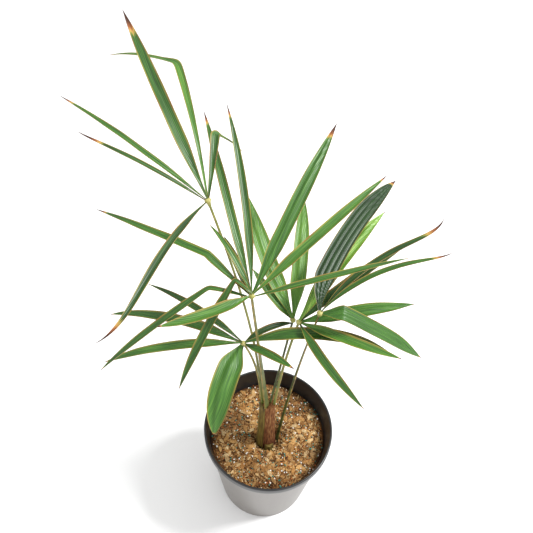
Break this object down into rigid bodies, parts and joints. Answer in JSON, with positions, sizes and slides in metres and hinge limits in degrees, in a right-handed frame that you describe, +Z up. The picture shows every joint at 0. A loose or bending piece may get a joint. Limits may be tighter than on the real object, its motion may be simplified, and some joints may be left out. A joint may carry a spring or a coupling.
{
  "type": "potted windmill palm",
  "caption": "Young fan palm with stiff pleated fingers on thin stalks, a short fibrous stem and mulch in a round black nursery pot.",
  "frame": {"origin": "centre of the pot's flat underside", "axes": "+Z up; +X to the right and +Y away from the side that is seen best, where the fan with the two folded fingers leans forward to the left"},
  "size_m": [0.382, 0.3257, 0.5875],
  "materials": {
    "pot_plastic": "satin black",
    "potting_mix": "dark crumbly bark mix",
    "mulch": "tan shredded bark",
    "stem_fibre": "red-brown matted fibre",
    "leaf_base": "olive-brown old leaf base",
    "petiole": "smooth green stalk",
    "blade": "satin green leaf with brown tips"
  },
  "bodies": {
    "root": {"pot": "pot_plastic", "potting_mix": "potting_mix", "mulch": "mulch", "stem": "stem_fibre", "leaf_base_left": "leaf_base", "leaf_base_front": "leaf_base", "low_leaf_petiole": "petiole", "low_leaf_finger_1": "blade", "low_leaf_finger_2": "blade", "low_leaf_finger_3": "blade", "low_leaf_finger_4": "blade", "low_leaf_finger_5": "blade", "low_leaf_finger_6": "blade", "low_leaf_finger_7": "blade", "middle_leaf_petiole": "petiole", "middle_leaf_finger_1": "blade", "middle_leaf_finger_2": "blade", "middle_leaf_finger_2_beyond_fold": "blade", "middle_leaf_finger_3": "blade", "middle_leaf_finger_3_beyond_fold": "blade", "middle_leaf_finger_4": "blade", "middle_leaf_finger_5": "blade", "middle_leaf_finger_6": "blade", "middle_leaf_finger_7": "blade", "middle_leaf_finger_8": "blade", "middle_leaf_finger_9": "blade", "middle_leaf_finger_10": "blade", "middle_leaf_finger_11": "blade", "tall_leaf_petiole": "petiole", "tall_leaf_finger_1": "blade", "tall_leaf_finger_2": "blade", "tall_leaf_finger_2_beyond_fold": "blade", "tall_leaf_finger_3": "blade", "tall_leaf_finger_4": "blade", "tall_leaf_finger_5": "blade", "tall_leaf_finger_6": "blade", "tall_leaf_finger_6_beyond_fold": "blade", "back_leaf_petiole": "petiole", "back_leaf_finger_1": "blade", "back_leaf_finger_2": "blade", "back_leaf_finger_3": "blade", "side_leaf_petiole": "petiole", "side_leaf_finger_1": "blade", "side_leaf_finger_2": "blade", "side_leaf_finger_3": "blade", "side_leaf_finger_4": "blade", "side_leaf_finger_5": "blade", "right_leaf_petiole": "petiole", "right_leaf_finger_1": "blade", "right_leaf_finger_1_beyond_fold": "blade", "right_leaf_finger_2": "blade", "right_leaf_finger_3": "blade", "right_leaf_finger_4": "blade", "right_leaf_finger_4_beyond_fold": "blade"}
  },
  "joints": []
}
